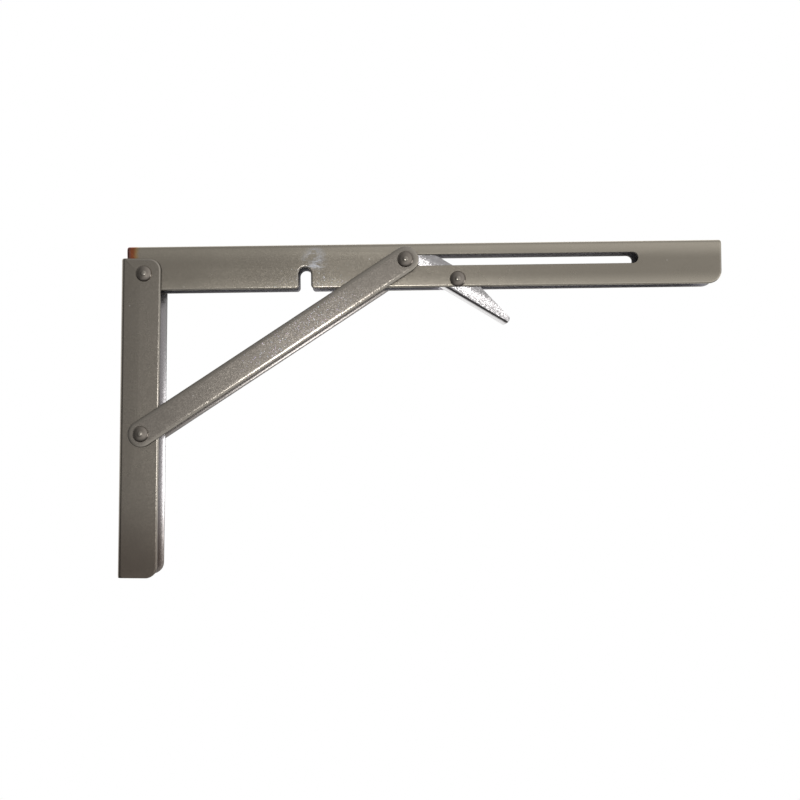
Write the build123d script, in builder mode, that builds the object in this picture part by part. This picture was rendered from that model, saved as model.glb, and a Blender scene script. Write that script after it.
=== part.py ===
from build123d import *
import os
from math import acos, asin, atan2, cos, degrees, hypot, radians, sin, sqrt, tan

# Folding shelf bracket, millimetres.
# X leads out from the wall, Z is up and Y runs across the bracket, which is symmetric about Y = 0.
# The origin is on the wall face, level with the corner rivet.
# It is drawn open: the shelf arm is locked out from the wall and the brace stands under it.

# Sheet and fits
sheet = 2.0                  # thickness of the two arms and the brace bars
bend_radius = 0.5            # inside radius of the arms' bends
side_gap = 0.2               # between neighbouring layers of sheet
pivot_gap = 0.05             # radial, between a rivet's shank and its hole

# Wall arm: a channel, open away from the wall
wall_length = 160.3
wall_depth = 19.8
wall_above_pivot = 7.6       # from the corner rivet up to the arm's top end
wall_corner_radius = 5.8

# Corner rivet, on which the shelf arm turns
pivot_from_wall = 11.4

# Shelf arm: a channel, open downwards, that folds into the wall arm
shelf_length = 300.0
shelf_width = 20.0
shelf_rise = 1.45            # degrees above square, so that a loaded shelf comes level
shelf_above_pivot = 13.9     # from the corner rivet to the top face
shelf_below_pivot = 8.3      # from the corner rivet to the flanges' lower edge
shelf_behind_pivot = 8.6     # from the corner rivet back to the inner end
shelf_heel_radius = 6.5      # lower corner at the inner end, clears the wall arm's web
shelf_nose_radius = 6.5      # lower corner at the outer end

# Slot in the shelf arm's flanges, in which the head of the brace slides
slot_height = 5.7
slot_above_pivot = 5.3
slot_outer_end = 249.2       # from the corner rivet to the slot's far end
slot_end_gap = 0.1           # between the slide pin and the slot's near end

# Notch in the shelf arm's flanges, clears the brace's foot rivet when folded
notch_width = 6.3
notch_top = 2.4              # above the corner rivet
notch_mouth_radius = 1.8

# Brace: two flat bars outside the arms
bar_width = 13.2
foot_behind_pivot = 0.3
foot_below_pivot = 80.5
head_along = 131.3           # from the corner rivet along the shelf arm

# Rivets
shank_radius = 2.5
head_radius = 4.05
head_height = 2.0
head_crown_radius = 2.2      # of the flat on top of the head

# Release lever: a small channel between the shelf arm's flanges
lever_sheet = 1.5
lever_from_head = 26.4       # its rivet, beyond the brace's head along the shelf arm
lever_below = 4.5            # its rivet, below the corner rivet's level
lever_slope = 31.4           # degrees that it falls towards the finger end
lever_web_offset = 6.8       # from its rivet to the outside of its web
lever_ramp_offset = 4.9      # from its rivet to the ramp that the pin rides over
lever_tip = 33.0             # from its rivet to the finger end
lever_taper = 15.7           # degrees by which the finger narrows
lever_taper_offset = 5.8     # from its rivet to the tapered edge
lever_tip_radius = 1.5
lever_bend_radius = 0.7
lever_knee_radius = 2.0
latch_gap = 0.2              # between the latch face and the slide pin
latch_rise = 2.8             # latch top above the slot's middle
latch_crest_radius = 8.5
latch_corner_radius = 0.8
lever_web_start = 8.6        # from its rivet back to where its web begins

# Return spring of the lever, coiled round its rivet
wire = 1.0
coil_radius = 3.6            # to the middle of the wire
coil_pitch = 1.15
coil_whole_turns = 2
coil_runs_per_turn = 10      # straight runs of wire that make up a turn
lever_leg = 16.0
anchor_along = 9.0           # the anchor hole, from the lever's rivet along the shelf arm
anchor_above = 4.0
anchor_hole_radius = 0.8
spring_gap = 0.1             # between the spring's leg and the lever's web

# Screw holes in the two webs
screw_radius = 2.75
wall_screw_first = 30.0      # below the corner rivet
wall_screw_end = 14.7        # from the last hole to the wall arm's lower end
wall_screw_count = 4
shelf_screw_first = 35.0     # from the corner rivet along the shelf arm
shelf_screw_end = 16.4       # from the last hole to the shelf arm's outer end
shelf_screw_count = 4

# Layers across the bracket, as distances from its middle plane
shelf_half = shelf_width / 2
shelf_inside = shelf_half - sheet
wall_inside = shelf_half + side_gap
wall_half = wall_inside + sheet
bar_inside = wall_half + side_gap
bar_outside = bar_inside + sheet
lever_half = shelf_inside - side_gap
lever_inside = lever_half - lever_sheet

# Side views are drawn on planes that face -Y, the shelf arm's along its own tilt
pivot = (pivot_from_wall, 0, 0)
rise = radians(shelf_rise)
shelf_side = Plane(origin=pivot, x_dir=(cos(rise), 0, sin(rise)), z_dir=(0, -1, 0))
foot = Vector(pivot_from_wall - foot_behind_pivot, 0, -foot_below_pivot)
head = shelf_side.from_local_coords(Vector(head_along, slot_above_pivot))
lever_along = head_along + lever_from_head
lever_pivot = shelf_side.from_local_coords(Vector(lever_along, -lever_below))
lever_side = Plane(origin=lever_pivot, x_dir=shelf_side.x_dir, z_dir=shelf_side.z_dir)
slope = radians(lever_slope)
anchor = Plane(
    origin=lever_side.from_local_coords(Vector(anchor_along, anchor_above, -shelf_half)),
    z_dir=(0, 1, 0),
)


def rivet(centre, inner, outer):
    """Rivet along Y whose shank runs from inner to outer, with its head, a low cone, at outer."""
    with BuildPart() as body:
        with BuildSketch(Plane.XY.offset(centre.Z)):
            with BuildLine():
                Polyline(
                    (centre.X, inner),
                    (centre.X + shank_radius, inner),
                    (centre.X + shank_radius, outer),
                    (centre.X + head_radius, outer),
                    (centre.X + head_crown_radius, outer + head_height),
                    (centre.X, outer + head_height),
                    close=True,
                )
            make_face()
        revolve(axis=Axis(centre, (0, 1, 0)))
    return body.part


def headed_both_ends(centre, half_grip):
    """Rivet through the whole bracket, headed outside both sides of its grip."""
    with BuildPart() as body:
        add(rivet(centre, 0, half_grip))
        mirror(about=Plane.XZ)
    return body.part


# Wall arm
wall_bottom = wall_above_pivot - wall_length
wall_screw_run = -wall_bottom - wall_screw_first - wall_screw_end
wall_screw_pitch = wall_screw_run / (wall_screw_count - 1)
wall_screw_middle = wall_screw_first + wall_screw_run / 2
wall_screws = Plane(origin=(0, 0, -wall_screw_middle), x_dir=(0, 1, 0), z_dir=(1, 0, 0))

with BuildPart() as wall_arm:
    with BuildSketch(Plane.XZ):
        with Locations((0, wall_bottom)):
            Rectangle(wall_depth, wall_length, align=Align.MIN)
    extrude(amount=wall_half, both=True)
    fillet(wall_arm.edges().filter_by(Axis.Y).group_by(Axis.X)[-1], wall_corner_radius)
    with BuildSketch(Plane.XZ):
        with Locations((sheet, wall_bottom)):
            Rectangle(wall_depth, wall_length, align=Align.MIN)
    extrude(amount=wall_inside, both=True, mode=Mode.SUBTRACT)
    upright = wall_arm.edges().filter_by(Axis.Z).group_by(Axis.X)
    fillet(upright[0], bend_radius + sheet)
    fillet(upright[1], bend_radius)
    with Locations(shelf_side, Plane(origin=foot, z_dir=(0, -1, 0))):
        Hole(shank_radius + pivot_gap)
    with Locations(wall_screws):
        with GridLocations(1, wall_screw_pitch, 1, wall_screw_count):
            Hole(screw_radius)
wall_arm.part.label = "wall_arm"

# Shelf arm
slot_start = head_along - shank_radius - slot_end_gap
slot_length = slot_outer_end - slot_start
notch_along = hypot(foot_behind_pivot, foot_below_pivot)
notch_straight = notch_top - notch_width / 2 + shelf_below_pivot
mouth_width = notch_width + 4 * notch_mouth_radius
along_shelf = Axis(pivot, shelf_side.x_dir)
above_shelf = Axis(pivot, shelf_side.y_dir)
shelf_screw_run = shelf_length - shelf_behind_pivot - shelf_screw_first - shelf_screw_end
shelf_screw_pitch = shelf_screw_run / (shelf_screw_count - 1)
shelf_screw_middle = shelf_screw_first + shelf_screw_run / 2
shelf_screws = Plane(
    origin=shelf_side.from_local_coords(Vector(shelf_screw_middle, shelf_above_pivot)),
    x_dir=shelf_side.x_dir,
    z_dir=shelf_side.y_dir,
)

with BuildPart() as shelf_arm:
    with BuildSketch(shelf_side):
        with Locations((-shelf_behind_pivot, -shelf_below_pivot)):
            Rectangle(shelf_length, shelf_above_pivot + shelf_below_pivot, align=Align.MIN)
    extrude(amount=shelf_half, both=True)
    lower_corners = shelf_arm.edges().filter_by(Axis.Y).group_by(above_shelf)[0].sort_by(along_shelf)
    fillet(lower_corners[0], shelf_heel_radius)
    nose = shelf_arm.edges().filter_by(Axis.Y).group_by(above_shelf)[0].sort_by(along_shelf)[-1]
    fillet(nose, shelf_nose_radius)
    with BuildSketch(shelf_side):
        with Locations((-shelf_behind_pivot, shelf_above_pivot - sheet)):
            Rectangle(shelf_length, shelf_above_pivot + shelf_below_pivot, align=(Align.MIN, Align.MAX))
    extrude(amount=shelf_inside, both=True, mode=Mode.SUBTRACT)
    lengthwise = shelf_arm.edges().filter_by(along_shelf).group_by(above_shelf)
    fillet(lengthwise[-1], bend_radius + sheet)
    fillet(lengthwise[-2], bend_radius)
    with BuildSketch(shelf_side):
        with Locations((slot_start + slot_length / 2, slot_above_pivot)):
            SlotOverall(slot_length, slot_height)
    extrude(amount=shelf_half, both=True, mode=Mode.SUBTRACT)
    with BuildSketch(shelf_side) as notch:
        with Locations((notch_along, notch_top - notch_width / 2)):
            Circle(notch_width / 2)
            Rectangle(notch_width, notch_straight, align=(Align.CENTER, Align.MAX))
        with Locations((notch_along, -shelf_below_pivot)):
            Rectangle(mouth_width, notch_mouth_radius, align=(Align.CENTER, Align.MAX))
        mouth = notch.vertices().group_by(Axis.Y)[1].sort_by(Axis.X)[1:-1]
        fillet(mouth, notch_mouth_radius)
    extrude(amount=shelf_half, both=True, mode=Mode.SUBTRACT)
    with Locations(shelf_side, lever_side):
        Hole(shank_radius + pivot_gap)
    with Locations(shelf_screws):
        with GridLocations(shelf_screw_pitch, 1, shelf_screw_count, 1):
            Hole(screw_radius)
    with Locations(anchor):
        Hole(anchor_hole_radius, depth=sheet)
shelf_arm.part.label = "shelf_arm"

# Brace bars, one outside each flange, with full round ends
bar_length = (head - foot).length
bar_middle = (foot + head) * 0.5
bar_side = Plane(origin=bar_middle, x_dir=head - foot, z_dir=(0, -1, 0))

with BuildPart() as brace_bar_front:
    with BuildSketch(bar_side.offset(bar_inside)):
        SlotCenterToCenter(bar_length, bar_width)
        with GridLocations(bar_length, 1, 2, 1):
            Circle(shank_radius + pivot_gap, mode=Mode.SUBTRACT)
    extrude(amount=sheet)
brace_bar_front.part.label = "brace_bar_front"

with BuildPart() as brace_bar_rear:
    mirror(brace_bar_front.part, about=Plane.XZ)
brace_bar_rear.part.label = "brace_bar_rear"

# Release lever: a channel bent along its web, then cut to its side outline
web_side = Plane(
    origin=lever_pivot,
    x_dir=lever_side.x_dir * cos(slope) - lever_side.y_dir * sin(slope),
    z_dir=lever_side.z_dir,
)
taper = radians(lever_taper)
latch_face = shank_radius + latch_gap - lever_from_head
latch_top = slot_above_pivot + latch_rise + lever_below
lever_step_offset = lever_web_offset - lever_bend_radius - lever_sheet
knee_along = (lever_taper_offset / cos(taper) - lever_ramp_offset) / tan(taper)
tip_above = (lever_taper_offset - lever_tip * sin(taper)) / cos(taper)


def at_web(along, above):
    """Point on the lever's side plane from distances along its web and square to it."""
    return (along * cos(slope) + above * sin(slope), above * cos(slope) - along * sin(slope))


blank_start = web_side.from_local_coords(Vector(latch_face - lever_web_offset, -lever_web_offset))
blank = Plane(origin=blank_start, x_dir=(0, 1, 0), z_dir=web_side.x_dir)
blank_length = lever_tip + 2 * lever_web_offset - latch_face
blank_depth = latch_top - latch_face

with BuildPart() as release_lever:
    with BuildSketch(blank) as outside:
        Rectangle(2 * lever_half, blank_depth, align=(Align.CENTER, Align.MIN))
        fillet(outside.vertices().group_by(Axis.Y)[0], lever_bend_radius + lever_sheet)
    extrude(amount=blank_length)
    with BuildSketch(blank) as inside:
        with Locations((0, lever_sheet)):
            Rectangle(2 * lever_inside, blank_depth, align=(Align.CENTER, Align.MIN))
        fillet(inside.vertices().group_by(Axis.Y)[0], lever_bend_radius)
    extrude(amount=blank_length, mode=Mode.SUBTRACT)
    with BuildSketch(lever_side):
        with BuildLine():
            FilletPolyline(
                (latch_face, (-lever_step_offset - latch_face * sin(slope)) / cos(slope)),
                at_web(-lever_web_start, -lever_step_offset),
                at_web(-lever_web_start, -lever_web_offset),
                at_web(lever_tip, -lever_web_offset),
                at_web(lever_tip, tip_above),
                at_web(knee_along, lever_ramp_offset),
                ((lever_ramp_offset - latch_top * cos(slope)) / sin(slope), latch_top),
                (latch_face, latch_top),
                radius=(
                    0,
                    0,
                    0,
                    lever_tip_radius,
                    lever_tip_radius,
                    lever_knee_radius,
                    latch_crest_radius,
                    latch_corner_radius,
                ),
                close=True,
            )
        make_face()
    extrude(amount=lever_half, both=True, mode=Mode.INTERSECT)
    with Locations(lever_side):
        Hole(shank_radius + pivot_gap)
release_lever.part.label = "release_lever"

# Return spring: the lever leg lies on the lever's web, the anchor leg ends in the rear flange
leg_dip = asin((lever_web_offset - lever_sheet - wire / 2 - spring_gap - coil_radius) / lever_leg)
coil_start = -slope - leg_dip - radians(90)
anchor_reach = hypot(anchor_along, anchor_above)
coil_end = atan2(anchor_above, anchor_along) + acos(coil_radius / anchor_reach)
coil_turns = (degrees(coil_start - coil_end) % 360) / 360 + coil_whole_turns
coil_height = coil_pitch * coil_turns
spring_plane = Plane(
    origin=lever_pivot - Vector(0, coil_height / 2, 0),
    x_dir=lever_side.x_dir * cos(coil_start) + lever_side.y_dir * sin(coil_start),
    z_dir=(0, 1, 0),
)


def torsion_spring():
    """Spring with its coil standing on XY about Z and its lever leg leaving from the X axis."""
    runs = round(coil_turns * coil_runs_per_turn)
    turn = radians(360) * coil_turns
    coil = [
        Vector(coil_radius, 0, coil_height * run / runs).rotate(Axis.Z, degrees(turn) * run / runs)
        for run in range(runs + 1)
    ]
    lever_end = coil[0] - Vector(0, lever_leg, 0)
    leaving = Vector(-sin(turn), cos(turn), 0)
    corner = coil[-1] + leaving * sqrt(anchor_reach**2 - coil_radius**2)
    hook = Vector(corner.X, corner.Y, coil_height / 2 + shelf_half)
    with BuildPart() as body:
        with BuildLine() as path:
            Polyline(lever_end, *coil, corner, hook)
        with BuildSketch(Plane(origin=path.line @ 0, z_dir=path.line % 0)):
            RegularPolygon(wire / 2, 6)
        sweep(path=path.line, transition=Transition.RIGHT)
    return body.part


with BuildPart() as lever_spring:
    with Locations(spring_plane):
        add(torsion_spring())
lever_spring.part.label = "lever_spring"

# Rivets
with BuildPart() as corner_rivet:
    add(headed_both_ends(Vector(pivot), wall_half))
corner_rivet.part.label = "corner_rivet"

with BuildPart() as brace_foot_rivet:
    add(headed_both_ends(foot, bar_outside))
brace_foot_rivet.part.label = "brace_foot_rivet"

with BuildPart() as lever_rivet:
    add(headed_both_ends(lever_pivot, shelf_half))
lever_rivet.part.label = "lever_rivet"

with BuildPart() as brace_head_rivet_rear:
    add(rivet(head, bar_inside, bar_outside))
brace_head_rivet_rear.part.label = "brace_head_rivet_rear"

with BuildPart() as brace_head_rivet_front:
    mirror(brace_head_rivet_rear.part, about=Plane.XZ)
brace_head_rivet_front.part.label = "brace_head_rivet_front"

# Slide pin: a stud in each slot, from the flange's inner face out to the brace bar
with BuildPart() as slide_pin:
    with BuildSketch(Plane(origin=head, z_dir=(0, -1, 0)).offset(shelf_inside)):
        Circle(shank_radius)
    extrude(amount=wall_half - shelf_inside)
    mirror(about=Plane.XZ)
slide_pin.part.label = "slide_pin"

pieces = (
    wall_arm,
    shelf_arm,
    brace_bar_front,
    brace_bar_rear,
    release_lever,
    lever_spring,
    corner_rivet,
    brace_foot_rivet,
    brace_head_rivet_front,
    brace_head_rivet_rear,
    slide_pin,
    lever_rivet,
)
os.makedirs("parts", exist_ok=True)
for piece in pieces:
    export_step(piece.part, f"parts/{piece.part.label}.step")
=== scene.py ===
import math

import bmesh
import bpy
from mathutils import Matrix, Vector


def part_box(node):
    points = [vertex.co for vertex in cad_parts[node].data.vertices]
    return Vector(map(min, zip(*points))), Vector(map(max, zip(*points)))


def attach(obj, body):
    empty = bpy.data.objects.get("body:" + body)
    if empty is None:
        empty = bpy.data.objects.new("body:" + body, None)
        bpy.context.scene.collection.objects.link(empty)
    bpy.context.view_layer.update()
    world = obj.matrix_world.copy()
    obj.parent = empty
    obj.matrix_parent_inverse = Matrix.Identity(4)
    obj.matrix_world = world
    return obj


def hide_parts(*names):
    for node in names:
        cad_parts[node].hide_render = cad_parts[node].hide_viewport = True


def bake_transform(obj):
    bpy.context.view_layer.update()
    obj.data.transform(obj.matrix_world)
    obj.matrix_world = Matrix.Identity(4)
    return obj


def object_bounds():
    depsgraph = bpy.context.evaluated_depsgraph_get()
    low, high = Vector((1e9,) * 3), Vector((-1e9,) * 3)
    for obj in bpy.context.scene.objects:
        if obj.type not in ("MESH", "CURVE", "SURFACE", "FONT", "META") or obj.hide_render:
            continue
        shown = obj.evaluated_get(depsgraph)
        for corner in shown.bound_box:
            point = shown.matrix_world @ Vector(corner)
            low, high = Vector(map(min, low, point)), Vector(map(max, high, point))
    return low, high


# Dressing of the folding shelf bracket: plated steel sheet, domed rivets and a wire spring.
# Metres throughout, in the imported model's frame: +X out from the wall, +Z up, +Y across.

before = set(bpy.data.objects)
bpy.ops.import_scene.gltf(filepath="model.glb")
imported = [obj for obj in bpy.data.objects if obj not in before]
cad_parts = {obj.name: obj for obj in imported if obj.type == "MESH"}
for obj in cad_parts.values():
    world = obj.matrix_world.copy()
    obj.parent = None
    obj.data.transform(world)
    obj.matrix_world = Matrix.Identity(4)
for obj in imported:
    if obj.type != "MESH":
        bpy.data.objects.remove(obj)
cad_low, cad_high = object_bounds()
middle = (cad_low + cad_high) / 2

MM = 0.001

# The open shelf arm rises this much above square to the wall; SHELF_UP is square to the arm
SHELF_RISE = math.radians(1.45)
SHELF_UP = Vector((-math.sin(SHELF_RISE), 0, math.cos(SHELF_RISE)))
LEVER_SLOPE = math.radians(31.4)

# Rivets and the slide pin; the brace's rear head is on the same axis as its front one
pin_low, pin_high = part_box("slide_pin")
pin_centre = (pin_low + pin_high) / 2
shank = (pin_high.x - pin_low.x) / 2
rivet_centres = [
    sum(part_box(name), Vector()) / 2
    for name in ("corner_rivet", "lever_rivet", "brace_foot_rivet", "brace_head_rivet_front")
]

# From the middle plane to half way through a brace bar, and a rivet head's height over the bar
bar_low, bar_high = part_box("brace_bar_rear")
bar_middle = (bar_low.y + bar_high.y) / 2
head_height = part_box("brace_head_rivet_rear")[1].y - bar_high.y

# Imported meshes: corners this close are one, a face this square to Y is flat, and faces that
# turn by less than SMOOTH_BEND run on into each other
WELD = 0.002 * MM
FLAT = 0.95
SMOOTH_BEND = math.radians(35)

# Width and depth of the stamped sheet's rolled edges, and the break of its sharp ones
ARM_ROLL = (1.0 * MM, 0.5 * MM)
BAR_ROLL = (2.2 * MM, 0.45 * MM)
LEVER_ROLL = (0.8 * MM, 0.35 * MM)
ROLL_STEPS = 6
BURR = 0.12 * MM
HOLE_RADIUS = 2.56 * MM

# Where the roll, and with it the painted highlight on the rolled edge, is less than full: the wall arm's
# lower end, the shelf arm's slot from where it starts, and the inner sides of the brace bars
FOOT_HEIGHT = 3 * MM
FOOT_SHARE = 0.25
SLOT_START = 140 * MM
SLOT_REACH = 4.5 * MM
BAR_INNER_SHARE = 0.45

# Rivet heads: a dome on a low rim, with a small nib left by the press
HEAD_SEAT = 4.0 * MM
SEAT_RISE = 0.1 * MM
HEAD_RIM = 0.3 * MM
NIB_RADIUS = 1.1 * MM
NIB_HEIGHT = 0.18 * MM
ARC_STEPS = 12
TURNING_STEPS = 64

# Slide pin: the length of its two studs, and the neck between them that the latch bears on
STUD_LENGTH = 4.2 * MM
NECK_START = 0.8 * MM
NECK_FULL = 1.2 * MM
NECK_CUT = 0.25 * MM


# Shapes

def new_piece(name, mesh, replaced, body):
    """Puts a mesh in the scene in place of a CAD piece, on that piece's body."""
    piece = bpy.data.objects.new(name, mesh)
    bpy.context.collection.objects.link(piece)
    shading = piece.modifiers.new("shading", "WEIGHTED_NORMAL")
    shading.keep_sharp = True
    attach(piece, body)
    if replaced:
        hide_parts(replaced)
    return piece


def welded(part):
    """A CAD piece's mesh as a bmesh, with its facets' corners joined."""
    bm = bmesh.new()
    bm.from_mesh(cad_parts[part].data)
    bmesh.ops.remove_doubles(bm, verts=bm.verts, dist=WELD)
    bm.normal_update()
    return bm


def smooth_mesh(bm, name):
    """Turns a bmesh into a mesh with smooth faces and frees it."""
    for face in bm.faces:
        face.smooth = True
    mesh = bpy.data.meshes.new(name)
    bm.to_mesh(mesh)
    bm.free()
    return mesh


def in_order(elements):
    """A set of faces or edges as a list that is the same on each run."""
    return sorted(elements, key=lambda element: element.index)


def faces_out(face):
    """True for a flat face that looks away from the bracket's middle plane."""
    return face.normal.y * math.copysign(1, face.calc_center_median().y) > FLAT


def faces_in(face):
    """True for a flat face that looks towards the bracket's middle plane."""
    return abs(face.normal.y) > FLAT and not faces_out(face)


def rivet_reach(place):
    """Distance from a place to the axis of the nearest rivet."""
    return min(math.hypot(place.x - centre.x, place.z - centre.z) for centre in rivet_centres)


def skin_from(bm, first):
    """The faces that first picks, with all that runs on smoothly round the sheet's bends."""
    skin = {face for face in bm.faces if first(face)}
    reached = list(skin)
    while reached:
        face = reached.pop()
        for edge in face.edges:
            for other in edge.link_faces:
                if other not in skin and other.normal.angle(face.normal) < SMOOTH_BEND:
                    skin.add(other)
                    reached.append(other)
    return skin


def hole_walls(bm):
    """The walls of the rivet holes; counted as skin, they leave the holes' rims as they are."""
    return {face for face in bm.faces if rivet_reach(face.calc_center_median()) < HOLE_RADIUS}


def clear_of_holes(place):
    """Share of the full roll at a place: none at the rivet holes."""
    return 0 if rivet_reach(place) < HOLE_RADIUS + BURR else 1


def wall_share(place):
    """Share of the full roll on the wall arm: little at its lower end."""
    return clear_of_holes(place) * (FOOT_SHARE if place.z < cad_low.z + FOOT_HEIGHT else 1)


def shelf_share(place):
    """Share of the full roll on the shelf arm: none along the slot."""
    height = (place - pin_centre).dot(SHELF_UP)
    near_slot = place.x > SLOT_START and abs(height) < SLOT_REACH
    return 0 if near_slot else clear_of_holes(place)


def bar_share(place):
    """Share of the full roll on a brace bar: less on its inner side."""
    return 1 if abs(place.y) > bar_middle else BAR_INNER_SHARE


def roll_over(bm, skin, roll, share):
    """Rolls the rim of a skin of faces over to a quarter of an ellipse and marks it as polished, with a
    painted highlight.
    """
    width, depth = roll
    polish_and_highlight = bm.verts.layers.float.new("polish_and_highlight")
    drops = []
    for step in range(ROLL_STEPS):
        turn = math.radians(90) * step / ROLL_STEPS
        after = math.radians(90) * (step + 1) / ROLL_STEPS
        inset = width * (math.cos(turn) - math.cos(after))
        ring = bmesh.ops.inset_region(bm, faces=skin, thickness=inset, use_even_offset=True)["faces"]
        kept = {vert for face in skin for vert in face.verts}
        for vert in {vert for face in ring for vert in face.verts} - kept:
            normal = sum((face.normal for face in vert.link_faces if face in ring), Vector())
            part = share(vert.co)
            drops.append((vert, normal.normalized() * depth * (1 - math.sin(turn)) * part))
            # the roll's share also sets how far the painted highlight lightens the rim here
            vert[polish_and_highlight] = part
    for vert in {vert for face in skin for vert in face.verts}:
        vert[polish_and_highlight] = 0
    for vert, drop in drops:
        vert.co -= drop


def filled_afresh(bm, flat, side):
    """Fills a flat again inside its rim, which the roll has moved."""
    own = set(flat)
    bm.edges.index_update()
    edges = in_order({edge for face in flat for edge in face.edges})
    rim = [edge for edge in edges if not own.issuperset(edge.link_faces)]
    bmesh.ops.delete(bm, geom=flat, context="FACES_KEEP_BOUNDARY")
    filled = bmesh.ops.triangle_fill(bm, edges=rim, use_beauty=True, normal=(0, side, 0))["geom"]
    for face in filled:
        if isinstance(face, bmesh.types.BMFace) and face.normal.y * side < 0:
            face.normal_flip()


def broken_edges(bm):
    """Breaks the edges that are still sharp with a small chamfer."""
    sharp = [
        edge for edge in bm.edges
        if len(edge.link_faces) == 2 and edge.calc_face_angle() > math.radians(60)
    ]
    bmesh.ops.bevel(
        bm, geom=sharp, offset=BURR, offset_type="OFFSET", segments=1,
        profile=0.5, affect="EDGES", clamp_overlap=True,
    )


def stamped_sheet(part, body, roll, share=clear_of_holes, both_sides=False):
    """The CAD piece with the edges of its outside, or of both sides, rolled over and the rest broken.

    Faces on neither side of the sheet are marked as cut.
    """
    bm = welded(part)
    cut = bm.faces.layers.float.new("cut")
    bm.faces.index_update()
    outer = skin_from(bm, faces_out)
    inner = skin_from(bm, faces_in)
    for face in bm.faces:
        face[cut] = face not in outer and face not in inner
    skin = in_order(outer | hole_walls(bm) | (inner if both_sides else set()))
    flats = [[face for face in skin if face.normal.y * side > FLAT] for side in (-1, 1)]
    roll_over(bm, skin, roll, share)
    for side, flat in zip((-1, 1), flats):
        if flat:
            filled_afresh(bm, flat, side)
    bm.normal_update()
    broken_edges(bm)
    mesh = smooth_mesh(bm, part + "_sheet")
    mesh.set_sharp_from_angle(angle=math.radians(40))
    return new_piece(part + "_sheet", mesh, part, body)


def dome(radius, height):
    """Outline of a rivet head as (radius, height) from its seat to its middle."""
    outline = [(HEAD_SEAT, 0), (radius, SEAT_RISE), (radius, HEAD_RIM)]
    crown = height - NIB_HEIGHT
    for step in range(1, ARC_STEPS):
        angle = math.radians(90) * step / ARC_STEPS
        reach = radius * math.cos(angle)
        if reach > NIB_RADIUS * 1.15:
            outline.append((reach, HEAD_RIM + (crown - HEAD_RIM) * math.sin(angle)))
    for step in range(ARC_STEPS // 2 + 1):
        angle = math.radians(90) * step / (ARC_STEPS // 2)
        outline.append((NIB_RADIUS * math.cos(angle), crown + NIB_HEIGHT * math.sin(angle)))
    return outline


def turned(name, outline, centre):
    """Mesh turned about Y through centre from (radius, y) points, polished and lightened as a painted
    highlight within a nib's radius.
    """
    bm = bmesh.new()
    polish_and_highlight = bm.verts.layers.float.new("polish_and_highlight")
    rings = []
    for radius, along in outline:
        ring = []
        for step in range(TURNING_STEPS):
            angle = math.tau * step / TURNING_STEPS
            out = radius * math.cos(angle)
            up = radius * math.sin(angle)
            vert = bm.verts.new((centre.x + out, along, centre.z + up))
            # painted highlight: the nib is marked to be lightened as well as polished
            vert[polish_and_highlight] = radius < NIB_RADIUS * 1.01
            ring.append(vert)
        rings.append(ring)
    for ring, after in zip(rings, rings[1:]):
        for step in range(TURNING_STEPS):
            turn = (step + 1) % TURNING_STEPS
            bm.faces.new((ring[step], ring[turn], after[turn], after[step]))
    bmesh.ops.remove_doubles(bm, verts=bm.verts, dist=WELD)
    bmesh.ops.recalc_face_normals(bm, faces=bm.faces)
    mesh = smooth_mesh(bm, name)
    mesh.set_sharp_from_angle(angle=math.radians(50))
    return mesh


def rivet(part, body, heads=(-1, 1)):
    """Domed rivet in place of a CAD rivet; heads lists the ends that carry one, -1 or 1."""
    low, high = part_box(part)
    radius = (high.x - low.x) / 2
    outline = []
    for end, limit in ((-1, low.y), (1, high.y)):
        if end in heads:
            seat = limit - end * head_height
            half = [(reach, seat + end * rise) for reach, rise in dome(radius, head_height)]
            half.insert(0, (shank, seat))
        else:
            half = [(shank, limit), (0, limit)]
        outline += half if end > 0 else half[::-1]
    mesh = turned(part + "_turned", outline, (low + high) / 2)
    return new_piece(part + "_turned", mesh, part, body)


def slide_pin_middle():
    """The stretch of the slide pin between its two studs, thinned where the latch bears."""
    inner = pin_high.y - STUD_LENGTH
    outline = [
        (0, -inner),
        (shank, -inner),
        (shank, -inner + NECK_START),
        (shank - NECK_CUT, -inner + NECK_FULL),
    ]
    outline += [(reach, -along) for reach, along in outline[::-1]]
    mesh = turned("slide_pin_middle", outline, pin_centre)
    return new_piece("slide_pin_middle", mesh, None, "pin")


def twisting_spring():
    """The CAD spring with a round wire; its coil twists between the arm's leg and the lever's leg."""
    wire = bpy.data.objects.new("lever_spring_wire", smooth_mesh(welded("lever_spring"), "hexagonal_wire"))
    bpy.context.collection.objects.link(wire)
    wire.modifiers.new("round_wire", "SUBSURF").levels = 2
    rounded = wire.evaluated_get(bpy.context.evaluated_depsgraph_get())
    wire.data = bpy.data.meshes.new_from_object(rounded)
    wire.data.name = "lever_spring_wire"
    wire.modifiers.clear()
    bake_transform(wire)
    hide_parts("lever_spring")
    return wire


# Materials: helpers

def nodes_of(owner):
    """Empties the node tree of a material or world and returns it."""
    owner.use_nodes = True
    tree = owner.node_tree
    tree.nodes.clear()
    return tree


def node(tree, kind, **settings):
    """Adds a node and sets its properties."""
    made = tree.nodes.new(kind)
    for key, value in settings.items():
        setattr(made, key, value)
    return made


def feed(tree, socket, value):
    """Links a socket to a node's input, or writes a number, tuple or vector on it."""
    if isinstance(value, bpy.types.NodeSocket):
        tree.links.new(value, socket)
    else:
        socket.default_value = value


def noise(tree, place, size, detail=2.0):
    """Noise whose features are about size metres across; returns its factor."""
    made = node(tree, "ShaderNodeTexNoise")
    made.inputs["Scale"].default_value = 1 / size
    made.inputs["Detail"].default_value = detail
    tree.links.new(place, made.inputs["Vector"])
    return made.outputs["Fac"]


def cells(tree, place, size):
    """Voronoi cells about size metres across; returns the node."""
    made = node(tree, "ShaderNodeTexVoronoi", feature="F1")
    made.inputs["Scale"].default_value = 1 / size
    tree.links.new(place, made.inputs["Vector"])
    return made


def mark(tree, name):
    """A mesh attribute's value."""
    return node(tree, "ShaderNodeAttribute", attribute_name=name).outputs["Fac"]


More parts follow.
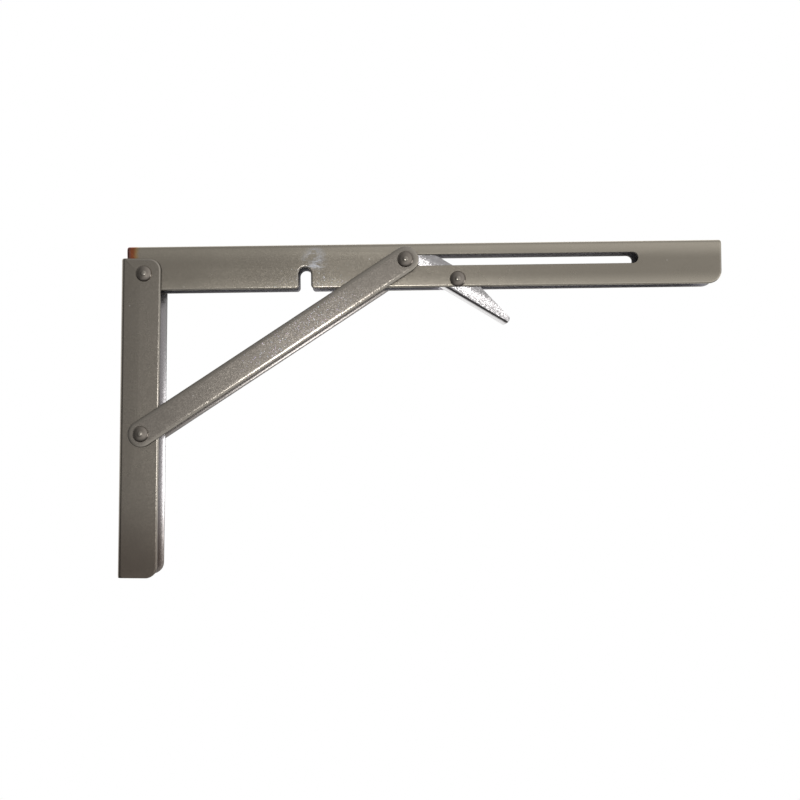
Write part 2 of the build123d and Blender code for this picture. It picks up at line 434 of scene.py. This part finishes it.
def ramp(tree, value, low, high, to_low=0.0, to_high=1.0):
    """Maps value from low..high to to_low..to_high, smoothly and clamped."""
    made = node(tree, "ShaderNodeMapRange", interpolation_type="SMOOTHSTEP")
    made.inputs["From Min"].default_value = low
    made.inputs["From Max"].default_value = high
    made.inputs["To Min"].default_value = to_low
    made.inputs["To Max"].default_value = to_high
    tree.links.new(value, made.inputs["Value"])
    return made.outputs["Result"]


def combine(tree, operation, first, second=0):
    """Math on two values, each a socket or a number."""
    made = node(tree, "ShaderNodeMath", operation=operation)
    feed(tree, made.inputs[0], first)
    feed(tree, made.inputs[1], second)
    return made.outputs[0]


def move(tree, operation, first, second=(0, 0, 0)):
    """Vector math on two vectors, each a socket or a tuple."""
    made = node(tree, "ShaderNodeVectorMath", operation=operation)
    feed(tree, made.inputs[0], first)
    feed(tree, made.inputs[1], second)
    return made.outputs["Value" if operation in ("DOT_PRODUCT", "LENGTH") else "Vector"]


def scaled(tree, vector, amount):
    """A vector, a socket or a tuple, times a value."""
    made = node(tree, "ShaderNodeVectorMath", operation="SCALE")
    feed(tree, made.inputs[0], vector)
    tree.links.new(amount, made.inputs["Scale"])
    return made.outputs[0]


def along(tree, vector, axis):
    """One axis of a vector."""
    made = node(tree, "ShaderNodeSeparateXYZ")
    tree.links.new(vector, made.inputs[0])
    return made.outputs[axis]


def away_from(tree, place, centre):
    """Distance from a place to a centre."""
    return move(tree, "LENGTH", move(tree, "SUBTRACT", place, centre))


def blended(tree, amount, under, over):
    """Mixes two values, each a socket or a number, by amount."""
    made = node(tree, "ShaderNodeMix", data_type="FLOAT")
    tree.links.new(amount, made.inputs["Factor"])
    feed(tree, made.inputs[2], under)
    feed(tree, made.inputs[3], over)
    return made.outputs[0]


def tinted(tree, amount, under, over):
    """Mixes two colours, each a socket or a tuple, by amount."""
    made = node(tree, "ShaderNodeMix", data_type="RGBA")
    tree.links.new(amount, made.inputs["Factor"])
    for socket, colour in ((made.inputs[6], under), (made.inputs[7], over)):
        feed(tree, socket, (*colour, 1) if isinstance(colour, tuple) else colour)
    return made.outputs[2]


def inner_faces(tree, coordinates):
    """1 on sheet faces that look towards the bracket's middle plane, 0 elsewhere."""
    side = combine(tree, "SIGN", along(tree, coordinates.outputs["Object"], "Y"))
    facing = along(tree, coordinates.outputs["Normal"], "Y")
    return ramp(tree, combine(tree, "MULTIPLY", facing, side), -0.6, -0.9)


# Materials: the plating

# Colour and roughness of the rolled edges and the rivets' nibs, polished and lightened as a painted
# highlight, and of the sheet's cut faces
POLISH_AND_HIGHLIGHT = ((0.50, 0.455, 0.395), 0.13)
SHEARED = ((0.07, 0.065, 0.06), 0.75)


def plating(tree, place, tone, roughness):
    """Colour and roughness of the plating: slow clouds, fine specks and a few bright nicks."""
    light = tuple(channel * 1.07 for channel in tone)
    dark = tuple(channel * 0.93 for channel in tone)
    cloud = noise(tree, place, 24 * MM, 3)
    speck = noise(tree, place, 0.9 * MM, 1)
    clouds = ramp(tree, cloud, 0.3, 0.7, 0.1, 0.8)
    shade = combine(tree, "ADD", clouds, ramp(tree, speck, 0.3, 0.7, 0, 0.12))
    colour = tinted(tree, shade, dark, light)
    gloss = combine(tree, "ADD", ramp(tree, cloud, 0.3, 0.7, 0.04, -0.04), roughness)
    nick = ramp(tree, cells(tree, place, 9 * MM).outputs["Distance"], 0.045, 0.02)
    colour = tinted(tree, combine(tree, "MULTIPLY", nick, 0.7), colour, (0.85, 0.83, 0.80))
    return colour, gloss


def changed(tree, where, look, new_look):
    """A look, which is a colour and a roughness, with a new one laid over it where said."""
    return tuple(mix(tree, where, *pair) for mix, *pair in zip((tinted, blended), look, new_look))


def crystal_tilt(tree, place, grain):
    """Tilt of the plating's fine crystals, up to grain along each axis."""
    tilt = move(tree, "SUBTRACT", cells(tree, place, 0.4 * MM).outputs["Color"], (0.5, 0.5, 0.5))
    return move(tree, "MULTIPLY", tilt, (grain * 2, grain * 2, grain * 2))


def orange_peel(tree, place):
    """Normal of a surface with a faint orange peel."""
    peel = node(tree, "ShaderNodeBump")
    peel.inputs["Strength"].default_value = 0.02
    peel.inputs["Distance"].default_value = 0.1 * MM
    tree.links.new(noise(tree, place, 1.6 * MM, 2), peel.inputs["Height"])
    return peel.outputs["Normal"]


def plated_steel(name, tone, roughness, grain=0.03, inside=None, lean=None):
    """Bright plated steel, with polished rolled edges that are lightened as a painted highlight, and dull cut
    ones.

    inside is the colour and roughness of the sheet's inner faces, painted light that sets them apart from the
    outer ones, where the crystals are calmer, and lean gives the amount by which some faces lean.
    """
    material = bpy.data.materials.new(name)
    tree = nodes_of(material)
    coordinates = node(tree, "ShaderNodeTexCoord")
    place = coordinates.outputs["Object"]
    look = plating(tree, place, tone, roughness)
    tilt = crystal_tilt(tree, place, grain)
    if inside:
        within = inner_faces(tree, coordinates)
        # painted light: the inner faces take a lighter colour of their own
        look = changed(tree, within, look, inside)
        tilt = scaled(tree, tilt, ramp(tree, within, 0, 1, 1, 0.25))
    # painted highlight: the rolled edges and nibs take a lighter polished colour
    look = changed(tree, mark(tree, "polish_and_highlight"), look, POLISH_AND_HIGHLIGHT)
    colour, gloss = changed(tree, mark(tree, "cut"), look, SHEARED)
    facing = move(tree, "ADD", orange_peel(tree, place), tilt)
    if lean:
        facing = move(tree, "ADD", facing, lean(tree, coordinates))

    shader = node(tree, "ShaderNodeBsdfPrincipled")
    shader.inputs["Metallic"].default_value = 1.0
    tree.links.new(colour, shader.inputs["Base Color"])
    tree.links.new(gloss, shader.inputs["Roughness"])
    tree.links.new(move(tree, "NORMALIZE", facing), shader.inputs["Normal"])
    out = node(tree, "ShaderNodeOutputMaterial")
    tree.links.new(shader.outputs["BSDF"], out.inputs["Surface"])
    return material


def splayed_inside(tree, coordinates):
    """Lean of the wall arm's inner faces, whose flanges open a little towards the room."""
    return scaled(tree, (0.095, 0, 0.018), inner_faces(tree, coordinates))


def crowned_finger(tree, coordinates):
    """Lean of the lever's flanges towards its web, growing to the bend that joins them."""
    to_web = Vector((-math.sin(LEVER_SLOPE), 0, -math.cos(LEVER_SLOPE)))
    rivet_centre = sum(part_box("lever_rivet"), Vector()) / 2
    depth = move(tree, "SUBTRACT", coordinates.outputs["Object"], rivet_centre)
    depth = move(tree, "DOT_PRODUCT", depth, to_web)
    return scaled(tree, to_web, ramp(tree, depth, -2 * MM, 3 * MM, 0, 0.1))


# Materials: marks on the plating, among them painted glints, sheen and shade

# centre of the painted glints on the plating
PAINTED_GLINT_CENTRE = Vector((100, -12, -42)) * MM
SCUFF_CENTRE = Vector((96.7, -10, 8.5)) * MM
SCUFF_SLANT = math.radians(32)


def overlay(material, marks, inside_too=False, **settings):
    """Lays a masked colour over a material's base colour, on all but the sheet's inner faces or on all."""
    tree = material.node_tree
    coordinates = next(n for n in tree.nodes if n.type == "TEX_COORD")
    shader = next(n for n in tree.nodes if n.type == "BSDF_PRINCIPLED")
    under = shader.inputs["Base Color"].links[0].from_socket
    mask, colour = marks(tree, coordinates.outputs["Object"], **settings)
    if not inside_too:
        outside = combine(tree, "SUBTRACT", 1, inner_faces(tree, coordinates))
        mask = combine(tree, "MULTIPLY", mask, outside)
    tree.links.new(tinted(tree, mask, under, colour), shader.inputs["Base Color"])


def heat_stain(tree, place):
    """Heat stain on the shelf arm's inner end: red-brown, then orange, then straw."""
    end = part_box("shelf_arm")[0].x
    wander = combine(tree, "MULTIPLY", noise(tree, place, 3 * MM, 3), 1.5 * MM)
    reach = combine(tree, "SUBTRACT", along(tree, place, "X"), wander)
    orange = ramp(tree, reach, end + 0.4 * MM, end + 1.8 * MM)
    straw = ramp(tree, reach, end + 2.2 * MM, end + 4.2 * MM)
    stain = tinted(tree, orange, (0.30, 0.13, 0.11), (0.45, 0.14, 0.06))
    stain = tinted(tree, straw, stain, (0.56, 0.36, 0.16))
    return ramp(tree, reach, end + 6.0 * MM, end + 3.2 * MM), stain


def painted_glints(tree, place, most=0.07):
    """Painted glints: bright crystal facets, thickest where the shelf arm, the brace and the lever come
    together.
    """
    facets = cells(tree, place, 0.3 * MM).outputs["Color"]
    pick = node(tree, "ShaderNodeSeparateColor")
    tree.links.new(facets, pick.inputs[0])
    near = ramp(tree, away_from(tree, place, PAINTED_GLINT_CENTRE), 60 * MM, 15 * MM, 0.0, most)
    bright = ramp(tree, combine(tree, "ADD", pick.outputs["Blue"], near), 1.0, 1.06)
    hue = move(tree, "MULTIPLY", facets, (0.3, 0.3, 0.3))
    return bright, move(tree, "ADD", hue, (0.78, 0.76, 0.77))


def painted_sheen_bands(tree, place):
    """Painted sheen: paler bands along the shelf arm's flanges, above and below their middle, stronger
    towards the arm's outer end.
    """
    middle_line = sum(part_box("shelf_arm"), Vector()) / 2
    height = move(tree, "DOT_PRODUCT", move(tree, "SUBTRACT", place, middle_line), SHELF_UP)
    off_middle = combine(tree, "ABSOLUTE", combine(tree, "ADD", height, 1.5 * MM))
    bands = ramp(tree, off_middle, 3 * MM, 11 * MM, 0.0, 0.8)
    outwards = ramp(tree, along(tree, place, "X"), 0.03, 0.2, 0.45, 1.0)
    return combine(tree, "MULTIPLY", bands, outwards), (0.72, 0.655, 0.545)


def painted_foot_shade(tree, place):
    """Painted shade, darker towards the wall arm's lower end."""
    return ramp(tree, along(tree, place, "Z"), -0.105, -0.15, 0.0, 0.75), (0.17, 0.135, 0.11)


def scuff(tree, place):
    """Pale scuff above the notch: a few slanting scratches in a small cloud."""
    near = ramp(tree, away_from(tree, place, SCUFF_CENTRE), 8 * MM, 2 * MM)
    slanted = node(tree, "ShaderNodeMapping")
    slanted.inputs["Rotation"].default_value = (0, SCUFF_SLANT, 0)
    slanted.inputs["Scale"].default_value = (0.12, 1, 1)
    tree.links.new(place, slanted.inputs["Vector"])
    streaks = ramp(tree, noise(tree, slanted.outputs[0], 0.8 * MM, 2), 0.52, 0.66)
    haze = ramp(tree, noise(tree, place, 3 * MM, 3), 0.4, 0.65, 0.0, 0.6)
    pale = combine(tree, "MAXIMUM", streaks, haze)
    return combine(tree, "MULTIPLY", near, pale), (0.80, 0.81, 0.86)


def paint(piece, material):
    """Gives a piece its material; a CAD piece takes it through its object's slots."""
    if not piece.data.materials:
        piece.data.materials.append(material)
    for slot in piece.material_slots:
        slot.link = "OBJECT"
        slot.material = material


# The bracket

# the inner faces' colours given below are painted light, lighter than the outer plating
wall_steel = plated_steel(
    "wall_steel", (0.355, 0.318, 0.27), 0.25, grain=0.02,
    inside=((0.47, 0.455, 0.46), 0.15), lean=splayed_inside,
)
# painted shade over the wall arm's lower end, on its inner faces too
overlay(wall_steel, painted_foot_shade, inside_too=True)

shelf_steel = plated_steel(
    "shelf_steel", (0.385, 0.345, 0.285), 0.25, grain=0.02, inside=((0.46, 0.45, 0.47), 0.2)
)
overlay(shelf_steel, painted_sheen_bands)
overlay(shelf_steel, painted_glints, most=0.13)
overlay(shelf_steel, heat_stain)
overlay(shelf_steel, scuff)

bar_steel = plated_steel(
    "bar_steel", (0.345, 0.31, 0.27), 0.25, grain=0.022, inside=((0.40, 0.38, 0.39), 0.2)
)
overlay(bar_steel, painted_glints)

lever_steel = plated_steel(
    "lever_steel", (0.56, 0.54, 0.54), 0.18, grain=0.04, lean=crowned_finger
)
overlay(lever_steel, painted_glints, most=0.13)

rivet_steel = plated_steel("rivet_steel", (0.35, 0.31, 0.27), 0.16, grain=0.015)
spring_steel = plated_steel("spring_steel", (0.33, 0.32, 0.31), 0.24)

paint(stamped_sheet("wall_arm", "wall", ARM_ROLL, wall_share), wall_steel)
paint(stamped_sheet("shelf_arm", "shelf", ARM_ROLL, shelf_share), shelf_steel)
for bar in ("brace_bar_front", "brace_bar_rear"):
    paint(stamped_sheet(bar, "brace", BAR_ROLL, bar_share, both_sides=True), bar_steel)
paint(stamped_sheet("release_lever", "lever", LEVER_ROLL), lever_steel)

paint(rivet("corner_rivet", "wall"), rivet_steel)
paint(rivet("lever_rivet", "shelf"), rivet_steel)
paint(rivet("brace_foot_rivet", "brace"), rivet_steel)
paint(rivet("brace_head_rivet_front", "brace", (-1,)), rivet_steel)
paint(rivet("brace_head_rivet_rear", "brace", (1,)), rivet_steel)
paint(slide_pin_middle(), rivet_steel)
paint(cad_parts["slide_pin"], rivet_steel)
paint(twisting_spring(), spring_steel)


# Camera and studio

CAMERA_LENS = 63.9
CAMERA_PLACE = Vector((131.53, -725.4, -71.1)) * MM
CAMERA_PAN = -0.01274
CAMERA_PITCH = 0.01279
CAMERA_ROLL = -0.01097


def photo_camera():
    """Camera below the shelf arm's level, all but square to the bracket's front."""
    camera = bpy.data.objects.new("camera", bpy.data.cameras.new("camera"))
    bpy.context.collection.objects.link(camera)
    camera.data.lens = CAMERA_LENS
    camera.matrix_world = (
        Matrix.Translation(CAMERA_PLACE)
        @ Matrix.Rotation(CAMERA_PAN, 4, "Z")
        @ Matrix.Rotation(CAMERA_PITCH, 4, "X")
        @ Matrix.Rotation(CAMERA_ROLL, 4, "Y")
        @ Matrix.Rotation(math.radians(90), 4, "X")
    )
    bpy.context.scene.camera = camera


def mirrored_room(tree):
    """What the metal mirrors: a grey room, a brighter front, a backdrop and a faint glow low on the right."""
    way = node(tree, "ShaderNodeTexCoord").outputs["Generated"]
    ahead = move(tree, "DOT_PRODUCT", way, (0, -1, 0))
    above = move(tree, "DOT_PRODUCT", way, (0, 0, 1))
    around = combine(tree, "ADD", move(tree, "DOT_PRODUCT", way, (0.06, 0, 0.13)), 0.19)
    front = combine(tree, "ADD", move(tree, "DOT_PRODUCT", way, (0.45, 0, 0)), 0.40)
    forwards = combine(tree, "ADD", ahead, combine(tree, "MULTIPLY", above, 0.35))
    room = blended(tree, ramp(tree, forwards, 0.3, 0.95), around, front)
    slant = combine(tree, "MULTIPLY", combine(tree, "ABSOLUTE", above), 0.45)
    backdrop = ramp(tree, combine(tree, "ADD", ahead, slant), 0.1, -0.35, 0.0, 0.85)
    low_right = ramp(tree, move(tree, "DOT_PRODUCT", way, (0.5, 0, -0.87)), 0.06, 0.3, 0.0, 0.12)
    glow = combine(tree, "MULTIPLY", low_right, ramp(tree, ahead, 0.2, 0.8))
    return combine(tree, "ADD", combine(tree, "ADD", room, backdrop), glow)


def studio_world():
    """White to the camera and through glass, the mirrored room to metal and plain light to the rest."""
    world = bpy.data.worlds.new("studio")
    bpy.context.scene.world = world
    tree = nodes_of(world)
    rays = node(tree, "ShaderNodeLightPath")
    white = combine(tree, "MAXIMUM", rays.outputs["Is Camera Ray"], rays.outputs["Is Transmission Ray"])
    seen = blended(tree, rays.outputs["Is Glossy Ray"], 0.7, mirrored_room(tree))
    background = node(tree, "ShaderNodeBackground")
    background.inputs["Color"].default_value = (1, 1, 1, 1)
    tree.links.new(combine(tree, "MAXIMUM", white, seen), background.inputs["Strength"])
    out = node(tree, "ShaderNodeOutputWorld")
    tree.links.new(background.outputs[0], out.inputs["Surface"])


def soft_box(name, away, size, power):
    """Square area lamp at away from the bracket's middle, turned towards it."""
    lamp = bpy.data.objects.new(name, bpy.data.lights.new(name, "AREA"))
    bpy.context.collection.objects.link(lamp)
    lamp.data.shape = "SQUARE"
    lamp.data.size = size
    lamp.data.energy = power
    lamp.location = middle + Vector(away)
    lamp.rotation_euler = (-Vector(away)).to_track_quat("-Z", "Y").to_euler()


def floor_material():
    """Pale matt floor that fades out towards its rim."""
    material = bpy.data.materials.new("pale_floor")
    tree = nodes_of(material)
    place = node(tree, "ShaderNodeTexCoord").outputs["Object"]
    fade = ramp(tree, move(tree, "LENGTH", place), 0.55, 1.03)
    matt = node(tree, "ShaderNodeBsdfPrincipled")
    matt.inputs["Base Color"].default_value = (0.86, 0.86, 0.855, 1)
    matt.inputs["Roughness"].default_value = 0.8
    clear = node(tree, "ShaderNodeBsdfTransparent")
    mix = node(tree, "ShaderNodeMixShader")
    tree.links.new(fade, mix.inputs[0])
    tree.links.new(matt.outputs[0], mix.inputs[1])
    tree.links.new(clear.outputs[0], mix.inputs[2])
    out = node(tree, "ShaderNodeOutputMaterial")
    tree.links.new(mix.outputs[0], out.inputs["Surface"])
    return material


def pale_floor():
    """Round floor well below the bracket, which its metal doesn't mirror."""
    bpy.ops.mesh.primitive_circle_add(
        vertices=96, radius=1.05, fill_type="NGON", location=(middle.x, 0, middle.z - 0.55)
    )
    floor = bpy.context.object
    floor.name = "floor"
    floor.data.materials.append(floor_material())
    floor.visible_glossy = False


photo_camera()
studio_world()
soft_box("front", (-0.045, -1.2, -0.03), 0.17, 0.50)
soft_box("side", (0.95, -0.25, -0.2), 0.4, 0.8)
pale_floor()
bpy.context.scene.view_settings.view_transform = "Standard"
